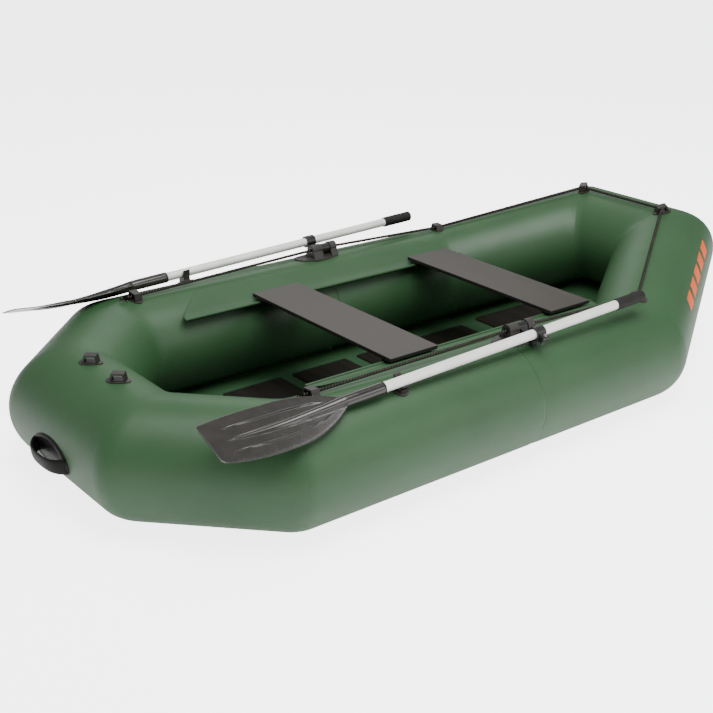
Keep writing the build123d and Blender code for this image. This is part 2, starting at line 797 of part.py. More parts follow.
def oar_clip(name, side):
    """A base on the tube with a saddle under the shaft and a stiff inboard arm that flares away from it."""
    plane = clip_plane(side)
    section = Plane(plane.origin - plane.x_dir * CLIP_DEPTH / 2, x_dir=plane.y_dir * side, z_dir=plane.x_dir * side)
    inner = OAR_R + CLIP_CLEAR
    with BuildPart() as clip:
        add(moulded_base(plane.offset(-30), 54, 58, BASE_LAYER))
        with BuildSketch(section):
            with BuildLine():
                Polyline(
                    (20, -36),
                    (20, -inner - 0.8),
                    (0, -inner - 0.8),
                    (0, -8.3),
                    (-13.1, -8.3),
                    (-23.1, 7),
                    (-28.1, 7),
                    (-19.5, -9),
                    (-14, -24),
                    (-14, -36),
                    close=True,
                )
            make_face()
            Circle(inner, mode=Mode.SUBTRACT)
        extrude(amount=side * CLIP_DEPTH)
        add(CORE, mode=Mode.SUBTRACT)
        add(clip_finger(side), mode=Mode.SUBTRACT)
    save(clip.part, f"oar_clip_{name}")


def clip_fingers():
    """Both clips' outboard fingers, which bend aside as an oar swings out."""
    with BuildPart() as fingers:
        for _, side in SIDES:
            add(clip_finger(side))
    save(fingers.part, "oar_clip_fingers")


# Carry handles ---------------------------------------------------------------------------------------

HANDLE_LENGTH = 215.0
HANDLE_WIDTH = 108.0
HANDLE_DROP = 9.0
GRIP_WIDTH = 44.0
GRIP_STAND = 37.0
FINGER_GAP = 27.0


def carry_handle(x, centre_z):
    """An oval base on the end of the boat and the broad arched grip that stands off it."""
    end = 1 if x > 0 else -1
    out = Vector(end * cos(radians(HANDLE_DROP)), 0, -sin(radians(HANDLE_DROP)))
    plane = Plane(Vector(x, 0, centre_z) + out * TUBE_R, x_dir=(0, 1, 0), z_dir=out)
    arch = Plane(plane.origin, x_dir=plane.x_dir, z_dir=-plane.y_dir)
    with BuildPart() as handle:
        add(moulded_base(plane, HANDLE_LENGTH, HANDLE_WIDTH, BASE_LAYER))
        with BuildSketch(arch.offset(-GRIP_WIDTH / 2)) as profile:
            with BuildLine():
                Polyline((-92, -12), (-60, GRIP_STAND), (60, GRIP_STAND), (92, -12), close=True)
            make_face()
            fillet(profile.vertices().group_by(Axis(arch.origin, arch.y_dir))[-1], 24)
            with BuildLine():
                Polyline((-76, -14), (-51, FINGER_GAP), (51, FINGER_GAP), (76, -14), close=True)
            make_face(mode=Mode.SUBTRACT)
        extrude(amount=GRIP_WIDTH)
        add(CORE, mode=Mode.SUBTRACT)
    return handle.part


def carry_handles():
    """The stern handle and its twin on the bow."""
    with BuildPart() as handles:
        add(carry_handle(STERN_X, TUBE_R))
        add(carry_handle(BOW_X, TUBE_R + BOW_RISE))
    save(handles.part, "carry_handles")


# Valves ----------------------------------------------------------------------------------------------

VALVE_FLANGE_R = 30.0
VALVE_WALL_R = 24.0
VALVE_BORE_R = 14.0
VALVE_MOUTH = 12.0
BORE_FLOOR = 2.0
SEAT_LEVEL = -18.0
SPIDER_LEVEL = -15.0
STEM_R = 3.0
BUTTON_TOP = -4.0
BUTTON_THICK = 1.5
CAP_PIVOT = (-31.0, 7.0)
CAP_PIN_R = 1.6


def valve(name, x):
    """An inflation valve: body, the sprung plunger that seals it from inside, and its hinged cap."""
    plane = valve_plane(x)
    hinge_axis = Plane(plane.origin - plane.x_dir * 12, x_dir=plane.y_dir, z_dir=plane.x_dir)
    with BuildPart() as body:
        add(moulded_base(plane, 2 * VALVE_FLANGE_R, 2 * VALVE_FLANGE_R, BASE_LAYER))
        with BuildSketch(plane.offset(-8)):
            Circle(VALVE_WALL_R)
        extrude(amount=VALVE_MOUTH + 8)
        with BuildSketch(hinge_axis):
            with Locations(CAP_PIVOT):
                Circle(3.6)
            with Locations((CAP_PIVOT[0] + 3.5, 0)):
                Rectangle(9, 11)
        extrude(amount=24)
        add(CORE, mode=Mode.SUBTRACT)
        with BuildSketch(plane.offset(-24)):
            Circle(VALVE_THROAT_R)
        extrude(amount=26)
        with BuildSketch(hinge_axis.offset(5.7)):
            with Locations((CAP_PIVOT[0] - 2.3, CAP_PIVOT[1] - 0.6)):
                Rectangle(13.2, 12)
        extrude(amount=12.6, mode=Mode.SUBTRACT)
        with BuildSketch(hinge_axis):
            with Locations(CAP_PIVOT):
                Circle(CAP_PIN_R + RUNNING)
        extrude(amount=24, mode=Mode.SUBTRACT)
        with BuildSketch(plane.offset(BORE_FLOOR)):
            Circle(VALVE_BORE_R)
        extrude(amount=VALVE_MOUTH - BORE_FLOOR, mode=Mode.SUBTRACT)
        with BuildSketch(plane.offset(SPIDER_LEVEL)):
            Circle(VALVE_BORE_R - 1.5)
        extrude(amount=BORE_FLOOR - SPIDER_LEVEL, mode=Mode.SUBTRACT)
        with BuildSketch(plane.offset(SEAT_LEVEL)):
            Circle(11)
            Rectangle(24, 3.5, mode=Mode.SUBTRACT)
            Rectangle(3.5, 24, mode=Mode.SUBTRACT)
            Circle(6, mode=Mode.SUBTRACT)
            Circle(STEM_R + RUNNING)
        extrude(amount=SPIDER_LEVEL - SEAT_LEVEL, mode=Mode.SUBTRACT)
        with BuildSketch(plane.offset(-24)):
            Circle(16)
        extrude(amount=SEAT_LEVEL + 24, mode=Mode.SUBTRACT)
    save(body.part, f"valve_body_{name}")

    with BuildPart() as plunger:
        with BuildSketch(plane.offset(SEAT_LEVEL - 2.2)):
            Circle(13.5)
        extrude(amount=2.2)
        with BuildSketch(plane.offset(SEAT_LEVEL)):
            Circle(STEM_R)
        extrude(amount=BUTTON_TOP - SEAT_LEVEL)
        with BuildSketch(plane.offset(BUTTON_TOP - BUTTON_THICK)):
            Circle(7)
        extrude(amount=BUTTON_THICK)
    save(plunger.part, f"valve_plunger_{name}")

    wire_r, coil_r, turns = 0.5, 4.6, 4
    bottom = SPIDER_LEVEL + wire_r
    height = BUTTON_TOP - BUTTON_THICK - wire_r - bottom
    base = plane.offset(bottom)
    with BuildPart() as spring:
        with BuildLine() as coil:
            Helix(height / turns, height, coil_r, center=base.origin, direction=base.z_dir)
        route = coil.wire()
        with BuildSketch(Plane(route @ 0, z_dir=route % 0)):
            Circle(wire_r)
        sweep(path=route, is_frenet=True)
    save(spring.part, f"valve_spring_{name}")

    with BuildPart() as cap:
        with BuildSketch(plane.offset(VALVE_MOUTH + 0.4)):
            Circle(27)
        extrude(amount=4)
        with BuildSketch(plane.offset(6)):
            Circle(27)
            Circle(25, mode=Mode.SUBTRACT)
        extrude(amount=VALVE_MOUTH - 5)
        with BuildSketch(hinge_axis.offset(6)):
            with Locations(CAP_PIVOT):
                Circle(2.8)
            with BuildLine():
                Polyline(
                    (CAP_PIVOT[0] - 2, CAP_PIVOT[1] + 1.5),
                    (CAP_PIVOT[0] + 1, VALVE_MOUTH + 4.4),
                    (-20, VALVE_MOUTH + 4.4),
                    (-20, VALVE_MOUTH + 0.4),
                    (-26, VALVE_MOUTH + 0.4),
                    (CAP_PIVOT[0] + 2, CAP_PIVOT[1]),
                    close=True,
                )
            make_face()
        extrude(amount=12)
        with BuildSketch(hinge_axis):
            with Locations(CAP_PIVOT):
                Circle(CAP_PIN_R)
        extrude(amount=24)
    save(cap.part, f"valve_cap_{name}")


hull_panels()
chamber_bulkheads()
floor_sheet()
floor_mat_and_slats()
for seat_name, seat_x in SEATS:
    seat(seat_name, seat_x)
rope_holders()
lifeline()
clip_fingers()
carry_handles()
for valve_name, valve_x in VALVES:
    valve(valve_name, valve_x)
for side_name, side_sign in SIDES:
    seat_rail(f"seat_rail_{side_name}", side_sign)
    rowlock_base(side_name, side_sign)
    rowlock_barrel(side_name, side_sign)
    rowlock_swivel(side_name, side_sign)
    oar_collar(side_name, side_sign)
    oar_shaft(side_name, side_sign)
    oar_grip(side_name, side_sign)
    oar_blade(side_name, side_sign)
    oar_clip(side_name, side_sign)
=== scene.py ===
from math import atan2, cos, pi, radians, sin, sqrt

import bpy
from mathutils import Matrix, Vector


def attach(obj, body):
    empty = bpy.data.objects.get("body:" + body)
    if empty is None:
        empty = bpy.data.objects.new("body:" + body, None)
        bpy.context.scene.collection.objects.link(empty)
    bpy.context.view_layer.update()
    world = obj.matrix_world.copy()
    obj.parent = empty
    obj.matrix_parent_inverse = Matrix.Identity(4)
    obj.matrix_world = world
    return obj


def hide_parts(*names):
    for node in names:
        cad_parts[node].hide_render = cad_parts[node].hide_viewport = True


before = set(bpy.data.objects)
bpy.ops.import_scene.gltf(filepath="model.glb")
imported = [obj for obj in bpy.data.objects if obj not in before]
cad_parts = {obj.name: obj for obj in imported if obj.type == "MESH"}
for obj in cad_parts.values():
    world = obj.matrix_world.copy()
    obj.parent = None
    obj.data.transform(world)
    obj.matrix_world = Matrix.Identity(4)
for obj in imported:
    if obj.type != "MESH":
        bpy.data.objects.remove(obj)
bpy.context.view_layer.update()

# Camera -----------------------------------------------------------------------------------------------

YAW = radians(50.449)
PITCH = radians(22.468)
ROLL = radians(1.357)
LENS = 60.64
CAMERA_PLACE = (-2.5383, -2.8187, 1.6897)


def make_camera():
    """The camera at the viewing angle of the listing picture."""
    forward = Vector((cos(YAW) * cos(PITCH), sin(YAW) * cos(PITCH), -sin(PITCH)))
    right = Vector((sin(YAW), -cos(YAW), 0))
    up = right.cross(forward)
    x = right * cos(ROLL) + up * sin(ROLL)
    y = up * cos(ROLL) - right * sin(ROLL)
    camera = bpy.data.objects.new("Camera", bpy.data.cameras.new("Camera"))
    camera.data.lens = LENS
    camera.data.sensor_width = 36.0
    camera.data.clip_end = 60.0
    axes = Matrix((x, y, -forward)).transposed().to_4x4()
    camera.matrix_world = Matrix.Translation(CAMERA_PLACE) @ axes
    bpy.context.collection.objects.link(camera)
    bpy.context.scene.camera = camera


make_camera()

# Dimensions repeated from the CAD, in metres ------------------------------------------------------------

SIDES = (("port", 1), ("starboard", -1))
TUBE_R = 0.1775
STERN_X, STERN_Y = -1.1225, 0.212
AFT_X, FORE_X, SIDE_Y = -0.8395, 0.6045, 0.494
BOW_X, BOW_Y, BOW_Z = 1.1225, 0.190, 0.3345
SEAM_X = -0.020

PIVOT = (0.020, 0.570, 0.390)
OAR_RISE = radians(2.03)
OAR_LEAN = radians(23.0)

# Materials ----------------------------------------------------------------------------------------------


class Nodes:
    """A small helper that builds a material's node tree."""

    def __init__(self, name):
        self.material = bpy.data.materials.new(name)
        self.material.use_nodes = True
        self.tree = self.material.node_tree
        self.shader = self.tree.nodes["Principled BSDF"]

    def add(self, kind, inputs=None, **settings):
        """A node; inputs are sockets to link or values to set."""
        node = self.tree.nodes.new(kind)
        for key, value in settings.items():
            setattr(node, key, value)
        for key, value in (inputs or {}).items():
            if isinstance(value, bpy.types.NodeSocket):
                self.tree.links.new(value, node.inputs[key])
            else:
                node.inputs[key].default_value = value
        return node

    def position(self, scale=(1, 1, 1)):
        """The point's place on the object, stretched by scale."""
        coordinates = self.add("ShaderNodeTexCoord")
        mapping = self.add("ShaderNodeMapping", {"Vector": coordinates.outputs["Object"]})
        mapping.inputs["Scale"].default_value = scale
        return mapping.outputs[0]

    def noise(self, scale, detail=3.0, stretch=(1, 1, 1), roughness=0.5):
        """A noise value; scale is in repeats per metre."""
        node = self.add("ShaderNodeTexNoise", {"Vector": self.position(stretch), "Scale": scale})
        node.inputs["Detail"].default_value = detail
        node.inputs["Roughness"].default_value = roughness
        return node.outputs["Fac"]

    def ramp(self, value, *stops):
        """A colour ramp; each stop is (position, colour)."""
        node = self.add("ShaderNodeValToRGB", {"Fac": value})
        elements = node.color_ramp.elements
        while len(elements) < len(stops):
            elements.new(0.5)
        for element, (position, colour) in zip(elements, stops):
            element.position = position
            element.color = (*colour, 1)
        return node.outputs["Color"]

    def remap(self, value, low, high):
        """A value between 0 and 1 brought between low and high."""
        return self.add("ShaderNodeMapRange", {"Value": value, "To Min": low, "To Max": high}).outputs[0]

    def mix(self, factor, a, b):
        """Two colours mixed."""
        node = self.add("ShaderNodeMix", data_type="RGBA")
        for key, value in ((0, factor), (6, a), (7, b)):
            if isinstance(value, bpy.types.NodeSocket):
                self.tree.links.new(value, node.inputs[key])
            else:
                node.inputs[key].default_value = value if key == 0 else (*value, 1)
        return node.outputs[2]

    def math(self, operation, a, b):
        """One sum on two values."""
        return self.add("ShaderNodeMath", {0: a, 1: b}, operation=operation).outputs[0]

    def bump(self, height, distance, strength=1.0):
        """Adds a height field to the surface, over any before it."""
        node = self.add("ShaderNodeBump", {"Height": height, "Distance": distance, "Strength": strength})
        if self.shader.inputs["Normal"].links:
            before = self.shader.inputs["Normal"].links[0].from_socket
            self.tree.links.new(before, node.inputs["Normal"])
        self.tree.links.new(node.outputs[0], self.shader.inputs["Normal"])

    def wave(self, scale, distortion, direction):
        """Fine bands across one axis."""
        node = self.add("ShaderNodeTexWave", {"Vector": self.position()}, bands_direction=direction)
        node.inputs["Scale"].default_value = scale
        node.inputs["Distortion"].default_value = distortion
        return node.outputs["Fac"]

    def set(self, **values):
        """Links or sets sockets of the shader, with underscores for spaces."""
        for key, value in values.items():
            socket = self.shader.inputs[key.replace("_", " ")]
            if isinstance(value, bpy.types.NodeSocket):
                self.tree.links.new(value, socket)
            else:
                socket.default_value = value
        return self.material


def fabric_material(name, light, dark, rough, weave=0.00012):
    """Coated boat fabric: a fine woven base under a satin coat, slightly uneven in tone."""
    m = Nodes(name)
    tone = m.noise(5.0, 4.0)
    colour = m.ramp(tone, (0.3, dark), (0.7, light))
    specks = m.noise(420.0, 2.0)
    colour = m.mix(m.remap(specks, 0.0, 0.12), colour, tuple(c * 1.6 for c in light))
    scuffs = m.noise(26.0, 6.0, (0.35, 1, 1), 0.62)
    roughness = m.remap(scuffs, *rough)
    threads = m.math("ADD", m.wave(330.0, 0.4, "X"), m.wave(330.0, 0.4, "Z"))
    m.bump(threads, weave, 0.35)
    m.bump(m.noise(9.0, 3.0), 0.004, 0.25)
    return m.set(
        Base_Color=colour, Roughness=roughness, Specular_IOR_Level=0.4, Coat_Weight=0.06, Coat_Roughness=0.3
    )


def plastic_material(name, light, dark, rough, grain=0.00015, coat=0.0, shine=0.5, ripple=0.0006):
    """Moulded plastic with a fine grained surface and slightly uneven gloss."""
    m = Nodes(name)
    colour = m.ramp(m.noise(30.0, 4.0), (0.3, dark), (0.7, light))
    roughness = m.remap(m.noise(90.0, 5.0, roughness=0.6), *rough)
    m.bump(m.noise(1400.0, 2.0), grain, 0.4)
    m.bump(m.noise(60.0, 2.0), ripple, 0.25)
    return m.set(
        Base_Color=colour,
        Roughness=roughness,
        Coat_Weight=coat,
        Coat_Roughness=0.15,
        Specular_IOR_Level=shine,
    )


def plywood_face_material(name, light, dark, rough, edge_light, edge_dark):
    """Film-faced plywood: long fine figure along the board under a satin film, and its plies at the edges."""
    m = Nodes(name)
    figure = m.noise(7.0, 6.0, (5.5, 0.6, 1), 0.65)
    between = tuple((a + b) / 2 for a, b in zip(light, dark))
    colour = m.ramp(figure, (0.32, dark), (0.5, between), (0.68, light))
    pores = m.noise(260.0, 3.0, (1.0, 0.12, 1.0))
    colour = m.mix(m.remap(pores, 0.0, 0.28), colour, tuple(c * 0.6 for c in dark))
    edge = m.ramp(m.wave(95.0, 0.6, "Z"), (0.35, edge_dark), (0.65, edge_light))
    normal = m.add("ShaderNodeTexCoord").outputs["Normal"]
    upright = m.add("ShaderNodeSeparateXYZ", {0: normal}).outputs["Z"]
    face = m.add("ShaderNodeMapRange", {"Value": upright, "From Min": 0.75, "From Max": 0.93}).outputs[0]
    m.bump(pores, 0.0003, 0.35)
    return m.set(Base_Color=m.mix(face, edge, colour), Roughness=m.remap(figure, *rough))


def metal_material(name, colour, rough, metallic=1.0):
    """Drawn or plated metal with fine lengthwise marks."""
    m = Nodes(name)
    marks = m.noise(900.0, 3.0, (0.15, 1, 1))
    tone = m.ramp(m.noise(12.0, 3.0), (0.3, tuple(c * 0.88 for c in colour)), (0.7, colour))
    m.bump(marks, 0.00006, 0.5)
    return m.set(Base_Color=tone, Metallic=metallic, Roughness=m.remap(marks, *rough))


GREEN = fabric_material("GreenHull", (0.032, 0.090, 0.034), (0.026, 0.075, 0.0285), (0.40, 0.50))
# The flap's green is the hull's fabric painted a shade darker: painted shade that evens out the extra light
# its upturned face catches.
FLAP_GREEN_PAINTED_SHADE = fabric_material("FlapGreenPaintedShade", (0.029, 0.084, 0.032), (0.024, 0.071, 0.027), (0.46, 0.56))
GREEN_MAT = fabric_material("GreenFloor", (0.028, 0.080, 0.034), (0.022, 0.062, 0.027), (0.5, 0.62), 0.0003)
ORANGE = fabric_material("OrangePrint", (0.80, 0.12, 0.015), (0.70, 0.10, 0.012), (0.4, 0.5))
BLACK_PLASTIC = plastic_material(
    "BlackPlastic", (0.016, 0.015, 0.014), (0.009, 0.009, 0.009), (0.2, 0.32), coat=0.3
)
HANDLE_PLASTIC = plastic_material(
    "HandlePlastic", (0.013, 0.012, 0.011), (0.007, 0.007, 0.007), (0.36, 0.5), shine=0.12
)
BLADE_PLASTIC = plastic_material(
    "BladePlastic",
    (0.030, 0.027, 0.023), (0.020, 0.018, 0.016), (0.17, 0.24), 0.00003, coat=0.3, ripple=0.00008,
)
ROWLOCK_PLASTIC = plastic_material(
    "RowlockPlastic", (0.015, 0.015, 0.015), (0.008, 0.008, 0.008), (0.3, 0.42), coat=0.15
)
GREY_PLASTIC = plastic_material("GreyPlastic", (0.032, 0.028, 0.024), (0.020, 0.018, 0.016), (0.34, 0.48))
PAD_PLASTIC = plastic_material("PadPlastic", (0.038, 0.034, 0.029), (0.026, 0.023, 0.020), (0.42, 0.55))
GRIP_PLASTIC = plastic_material(
    "GripPlastic", (0.013, 0.012, 0.011), (0.007, 0.007, 0.006), (0.6, 0.75), 0.0003, shine=0.35
)
# Paler strands on the black rope: a painted highlight standing in for the light that the strands' crowns
# catch.
ROPE_PAINTED_HIGHLIGHT = plastic_material(
    "RopePaintedHighlight", (0.075, 0.068, 0.055), (0.050, 0.045, 0.036), (0.6, 0.75), 0.0002, shine=0.2
)
ROPE = plastic_material("Rope", (0.004, 0.004, 0.003), (0.002, 0.002, 0.002), (0.6, 0.75), 0.0002, shine=0.08)
SEAT_BOARD = plywood_face_material(
    "BenchBoard",
    (0.046, 0.040, 0.033), (0.032, 0.027, 0.022), (0.4, 0.52), (0.020, 0.017, 0.014), (0.009, 0.008, 0.007),
)
SLAT_BOARD = plywood_face_material(
    "SlatBoard",
    (0.020, 0.017, 0.014), (0.010, 0.009, 0.007), (0.32, 0.48), (0.075, 0.050, 0.030), (0.035, 0.024, 0.016),
)
SHAFT = metal_material("OarTube", (0.97, 0.96, 0.925), (0.26, 0.36), metallic=0.1)
STEEL = metal_material("Steel", (0.55, 0.55, 0.54), (0.25, 0.4))


def both(*stems):
    """The port and starboard node of each stem."""
    return [f"{stem}_{side}" for stem in stems for side, _ in SIDES]


def aft_and_fore(*stems):
    """The aft and fore node of each stem."""
    return [f"{stem}_{place}" for stem in stems for place in ("aft", "fore")]


CAD_FINISH = (
    (GREEN, ["chamber_bulkheads", "floor_sheet"]),
    (GREEN_MAT, ["floor_mat"]),
    (SLAT_BOARD, [f"floor_slat_{number}" for number in range(1, 7)]),
    (SEAT_BOARD, aft_and_fore("seat_board")),
    (BLACK_PLASTIC, aft_and_fore("seat_tracks", "valve_cap", "valve_plunger")),
    (STEEL, aft_and_fore("seat_screws", "valve_spring") + both("collar_bolt")),
    (GREY_PLASTIC, aft_and_fore("rope_holders", "valve_body") + ["rope_holders_stern", "rope_holders_bow"]),
    (GREY_PLASTIC, both("oar_clip") + ["oar_clip_fingers"]),
    (ROWLOCK_PLASTIC, both("rowlock_swivel", "rowlock_barrel", "oar_collar")),
    (PAD_PLASTIC, both("rowlock_base")),
    (GRIP_PLASTIC, both("oar_grip")),
    (SHAFT, both("oar_shaft")),
)


def finish_cad_nodes():
    """Gives each CAD node that stays in view its finished material."""
    for material, names in CAD_FINISH:
        for name in names:
            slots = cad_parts[name].data.materials
            slots.clear()
            slots.append(material)


finish_cad_nodes()

# Mesh helpers -------------------------------------------------------------------------------------------


def make_piece(name, vertices, faces, materials, body):
    """A smooth-shaded mesh piece that rides on a body."""
    mesh = bpy.data.meshes.new(name)
    mesh.from_pydata([tuple(v) for v in vertices], [], faces)
    mesh.validate()
    for material in materials:
        mesh.materials.append(material)
    for polygon in mesh.polygons:
        polygon.use_smooth = True
    piece = bpy.data.objects.new(name, mesh)
    bpy.context.collection.objects.link(piece)
    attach(piece, body)
    return piece


# Hull ---------------------------------------------------------------------------------------------------

AROUND = 144
ROUNDING = 0.038
RUN_STEP = 0.04
MITRE_STEPS = (0.15, 0.3, 0.42, 0.47, 0.5, 0.53, 0.58, 0.7, 0.85)
SEAM_LAP = ((-0.004, 0.0), (0.0, 0.0), (0.0015, 0.0016), (0.004, 0.0017), (0.02, 0.0010), (0.05, 0.0))
SEAM_CLEAR = 0.008
WELD_PINCH, WELD_HALF = 0.0004, 0.06


def ring_corners():
    """The tube's centreline corners from the starboard bow round the stern to the port bow."""
    half = (
        (BOW_X, BOW_Y, BOW_Z),
        (FORE_X, SIDE_Y, TUBE_R),
        (AFT_X, SIDE_Y, TUBE_R),
        (STERN_X, STERN_Y, TUBE_R),
    )
    starboard = [Vector((x, -y, z)) for x, y, z in half]
    return starboard + [Vector(p) for p in half[::-1]]


def run_ends(corners, index):
    """For each place around the tube: both ends of its line on straight run index, on the mitre planes."""
    before, start, end, after = (corners[(index + k) % len(corners)] for k in (-1, 0, 1, 2))
    axis = (end - start).normalized()
    side = axis.cross(Vector((0, 0, 1))).normalized()
    up = side.cross(axis)
    start_normal = axis + (start - before).normalized()
    end_normal = axis + (after - end).normalized()
    lines = []
    for k in range(AROUND):
        angle = 2 * pi * k / AROUND
        out = side * cos(angle) + up * sin(angle)
        spoke = out * TUBE_R
        low = start + spoke - axis * (spoke.dot(start_normal) / axis.dot(start_normal))
        high = end + spoke - axis * (spoke.dot(end_normal) / axis.dot(end_normal))
        lines.append((low, high, out))
    return lines


def run_rings(lines, start, end):
    """The rings of a straight run, with a lapped seam across each long side tube."""
    length = (end - start).length
    count = max(3, int(length / RUN_STEP))
    shares = [k / count for k in range(count + 1)]
    sunk = {}
    if start.y == end.y:
        sunk = {(SEAM_X + ahead - start.x) / (end.x - start.x): sink for ahead, sink in SEAM_LAP}
        low_share, high_share = min(sunk) - SEAM_CLEAR / length, max(sunk) + SEAM_CLEAR / length
        shares = sorted([share for share in shares if not low_share < share < high_share] + list(sunk))
    rings = []
    for share in shares:
        ring = []
        for low, high, out in lines:
            inset = (high - low).normalized() * ROUNDING
            ring.append((low + inset).lerp(high - inset, share) - out * sunk.get(share, 0.0))
        rings.append(ring)
    return rings


def mitre_rings(lines, following):
    """The rings that round the mitre between two runs, pinched in at the weld."""
    rings = []
    for step in MITRE_STEPS:
        pinch = WELD_PINCH * max(0.0, 1 - abs(step - 0.5) / WELD_HALF)
        ring = []
        for (low, high, out), (low2, high2, out2) in zip(lines, following):
            a = high - (high - low).normalized() * ROUNDING
            b = low2 + (high2 - low2).normalized() * ROUNDING
            point = a * (1 - step) ** 2 + high * 2 * step * (1 - step) + b * step**2
            ring.append(point - (out + out2).normalized() * pinch)
        rings.append(ring)
    return rings


def hull_piece():
    """One skin for the ten welded panels: straight runs joined by soft mitres with a weld line in each."""
    corners = ring_corners()
    count = len(corners)
    runs = [run_ends(corners, index) for index in range(count)]
    rings = []
    for index, lines in enumerate(runs):
        rings += run_rings(lines, corners[index], corners[(index + 1) % count])
        rings += mitre_rings(lines, runs[(index + 1) % count])
    vertices = [point for ring in rings for point in ring]
    faces = []
    for row in range(len(rings)):
        this, following = row * AROUND, (row + 1) % len(rings) * AROUND
        for k in range(AROUND):
            beside = (k + 1) % AROUND
            faces.append((this + k, this + beside, following + beside, following + k))
    piece = make_piece("Hull_tube", vertices, faces, [GREEN], "hull")
    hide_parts(*[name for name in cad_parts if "_panel" in name])


hull_piece()


DASHES, DASH_PITCH, DASH_START = 5, 0.086, 0.155
DASH_LONG, DASH_HEIGHT, DASH_SLANT = 0.062, 0.042, 0.022
DASH_ANGLE, DASH_LIFT = radians(31), 0.0005
DASH_ROWS, DASH_COLUMNS = 8, 6


def bow_dashes():
    """A row of plain slanted dashes printed on the outer face of the starboard bow quarter."""
    start = Vector((FORE_X, -SIDE_Y, TUBE_R))
    axis = (Vector((BOW_X, -BOW_Y, BOW_Z)) - start).normalized()
    side = axis.cross(Vector((0, 0, 1))).normalized()
    up = side.cross(axis)
    vertices, faces = [], []
    for dash in range(DASHES):
        base = len(vertices)
        for row in range(DASH_ROWS + 1):
            share = row / DASH_ROWS
            angle = DASH_ANGLE + (share - 0.5) * DASH_HEIGHT / TUBE_R
            out = side * cos(angle) + up * sin(angle)
            near = DASH_START + dash * DASH_PITCH + share * DASH_SLANT
            for column in range(DASH_COLUMNS + 1):
                along = near + column / DASH_COLUMNS * DASH_LONG
                vertices.append(start + axis * along + out * (TUBE_R + DASH_LIFT))
        for row in range(DASH_ROWS):
            for column in range(DASH_COLUMNS):
                a = base + row * (DASH_COLUMNS + 1) + column
                faces.append((a, a + 1, a + DASH_COLUMNS + 2, a + DASH_COLUMNS + 1))
    piece = make_piece("Bow_dashes", vertices, faces, [ORANGE], "hull")


bow_dashes()

# Seat rails ---------------------------------------------------------------------------------------------

WELT_Y, WELT_Z, WELT_R = 0.323, 0.306, 0.005
RAIL_START, RAIL_END = -0.662, 0.560
FLAP, FLAP_FLAT, FLAP_BOND = 0.0016, 0.014, radians(10.0)
KNEE_Y, KNEE_Z = WELT_Y + 0.042, WELT_Z + 0.008
END_TAPER, TAPER_START = 0.12, 0.02


def rail_profile():
    """The section (y, z) of the welt and its flap, out to the edge that is bonded on the tube."""
    dy, dz = KNEE_Y - SIDE_Y, KNEE_Z - TUBE_R
    reach = sqrt(dy * dy + dz * dz)
    tangent = atan2(dz, dy) - atan2(sqrt(reach**2 - TUBE_R**2), TUBE_R)
    lower = [(WELT_Y + y, WELT_Z - FLAP / 2) for y in (0.004, FLAP_FLAT)] + [(KNEE_Y, KNEE_Z)]
    upper = [(WELT_Y + y, WELT_Z + FLAP / 2) for y in (0.004, FLAP_FLAT)] + [(KNEE_Y, KNEE_Z + FLAP)]
    for step in range(9):
        angle = tangent - FLAP_BOND * step / 8
        for points, lift in ((lower, 0.0002), (upper, FLAP)):
            r = TUBE_R + lift
            points.append((SIDE_Y + r * cos(angle), TUBE_R + r * sin(angle)))
    welt = []
    for step in range(15):
        angle = radians(20) + radians(320) * step / 14
        welt.append((WELT_Y + WELT_R * cos(angle), WELT_Z + WELT_R * sin(angle)))
    return upper[::-1] + welt + lower


def seat_rail(side_name, side):
    """A welt in a fabric hem, with the flap's corners cut back towards the tube."""
    profile = rail_profile()
    far = max(y for y, _ in profile)
    root = WELT_Y + TAPER_START
    stations = [0, 0.002, 0.006, 0.015] + [k / 30 for k in range(1, 30)] + [0.985, 0.994, 0.998, 1]
    vertices = []
    for station in stations:
        for y, z in profile:
            taper = END_TAPER * max(0.0, (y - root) / (far - root))
            x = RAIL_START + taper + (RAIL_END - RAIL_START - 2 * taper) * station
            vertices.append((x, side * y, z))
    size = len(profile)
    faces = []
    for row in range(len(stations) - 1):
        for k in range(size):
            a, b = row * size + k, row * size + (k + 1) % size
            faces.append((a, a + size, b + size, b)[:: side])
    faces.append(tuple(range(size))[:: side])
    faces.append(tuple(range((len(stations) - 1) * size, len(stations) * size))[:: -side])
    # The flap takes the darker green with painted shade, so it reads as the tube surface behind it.
    piece = make_piece(f"Rail_{side_name}", vertices, faces, [FLAP_GREEN_PAINTED_SHADE], "hull")
    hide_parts(f"seat_rail_{side_name}")


for rail_side, rail_sign in SIDES:
    seat_rail(rail_side, rail_sign)

# Oar blades ---------------------------------------------------------------------------------------------

SOCKET_END, SHOULDER, BLADE_TIP = -0.606, -0.740, -1.166
WIDEST = SHOULDER - 0.215
UPPER_EDGE = ((SHOULDER + 0.008, 0.012), (SHOULDER - 0.090, 0.063), (WIDEST, 0.082))
LOWER_EDGE = ((WIDEST, 0.082), (BLADE_TIP + 0.100, 0.080), (BLADE_TIP, 0.066))
TIP_CORNER = 0.010
MOUTH_R, MOUTH_DEPTH = 0.0152, 0.012
BLADE_THICK = 0.004
TIP_RISE, MID_RISE = 0.018, -0.004
SPINE = (
    (SOCKET_END, 0.018),
    (-0.700, 0.0178),
    (-0.760, 0.0165),
    (-0.850, 0.0140),
    (-1.000, 0.0100),
    (-1.090, 0.0055),
    (-1.135, 0.0),
)
SPINE_FILLET = 0.0022
RIB_START, RIB_END, RIB_HEIGHT, RIB_HALF, RIB_SHARE = -0.790, -1.130, 0.0050, 0.0040, 0.50
EVEN_SAMPLES, RIB_SAMPLES, RIB_SAMPLE_STEP = 72, 10, 0.006


